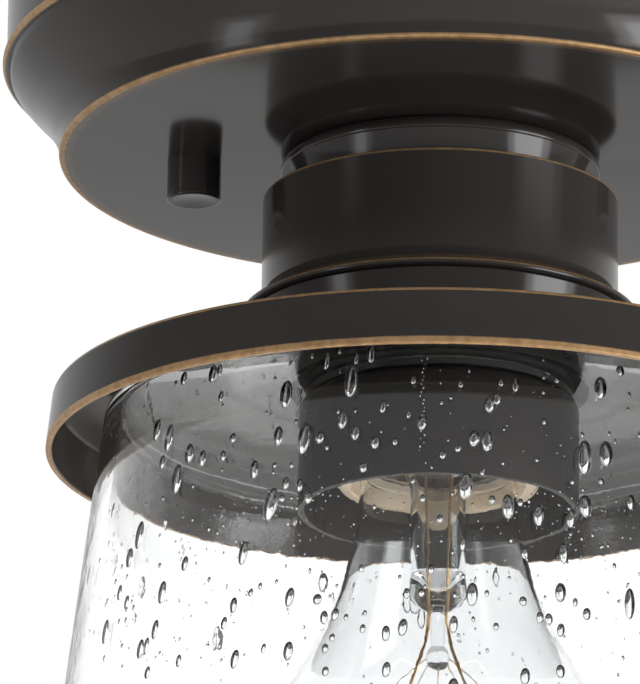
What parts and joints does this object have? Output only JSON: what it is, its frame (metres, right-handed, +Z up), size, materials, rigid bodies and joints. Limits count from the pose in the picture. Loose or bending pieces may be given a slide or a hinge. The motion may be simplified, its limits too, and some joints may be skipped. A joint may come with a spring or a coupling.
{
  "type": "porch ceiling lantern",
  "caption": "Ceiling-mounted porch lantern: round stepped canopy, short neck, shallow metal shade plate and flared clear seeded-glass shade around one exposed bulb.",
  "frame": {"origin": "centre of the crossbar's top face, which lies in the ceiling plane on the lantern's axis", "axes": "+Z up into the ceiling along the lantern's axis, +X through the right-hand cap nut, -Y towards the viewer of the picture"},
  "size_m": [0.1588, 0.1588, 0.205],
  "materials": {
    "bronze_paint": "satin oil-rubbed bronze",
    "seeded_glass": "clear with seeds",
    "bulb_glass": "clear",
    "foam": "matte closed-cell foam",
    "rubber": "matte",
    "zinc_steel": "zinc plated",
    "green_screw": "green dyed zinc",
    "brass": "plain",
    "aluminium": "turned",
    "porcelain": "glazed",
    "solder": "dull",
    "black_glass": "glossy",
    "nickel_base": "bright",
    "wire": "dull",
    "tungsten": "dull",
    "black_insulation": "matte",
    "white_insulation": "matte",
    "connector_plastic": "matte",
    "copper": "bare copper"
  },
  "bodies": {
    "fixture": {"ceiling_gasket": "foam", "crossbar": "zinc_steel", "canopy_studs": "zinc_steel", "stud_lock_nuts": "zinc_steel", "ground_screw": "green_screw", "canopy": "bronze_paint", "collar": "bronze_paint", "neck_housing": "bronze_paint", "threaded_nipple": "zinc_steel", "nipple_nuts": "brass", "lock_washers": "zinc_steel", "shade_plate": "bronze_paint", "shade_spacer": "aluminium", "upper_shade_gasket": "rubber", "lower_shade_gasket": "rubber", "glass_shade": "seeded_glass", "socket_body": "porcelain", "socket_screw_shell": "brass", "socket_centre_contact": "brass", "socket_bracket": "zinc_steel", "bracket_screws": "zinc_steel", "black_lead": "black_insulation", "white_lead": "white_insulation", "wire_connectors": "connector_plastic", "ground_lead": "copper"},
    "cap_nut_left": {"cap_nut_left": "bronze_paint"},
    "cap_nut_right": {"cap_nut_right": "bronze_paint"},
    "retaining_cup": {"retaining_cup": "bronze_paint"},
    "bulb": {"bulb_tip_contact": "solder", "bulb_base_insulator": "black_glass", "bulb_screw_base": "nickel_base", "bulb_envelope": "bulb_glass", "bulb_stem": "bulb_glass", "bulb_lead_wires": "wire", "bulb_support_wires": "wire", "bulb_filament": "tungsten"}
  },
  "joints": [
    {"name": "cap_nut_left_turn", "type": "hinge", "parent": "fixture", "child": "cap_nut_left", "pos_m": [-0.04445, 0, -0.035], "axis": [0, 0, 1], "continuous": true},
    {"name": "cap_nut_right_turn", "type": "hinge", "parent": "fixture", "child": "cap_nut_right", "pos_m": [0.04445, 0, -0.035], "axis": [0, 0, 1], "continuous": true},
    {"name": "retaining_cup_turn", "type": "hinge", "parent": "fixture", "child": "retaining_cup", "pos_m": [0, 0, -0.09], "axis": [0, 0, 1], "continuous": true},
    {"name": "bulb_relamp", "type": "slide", "parent": "fixture", "child": "bulb", "axis": [0, 0, -1], "range_m": [0, 0.145]}
  ]
}
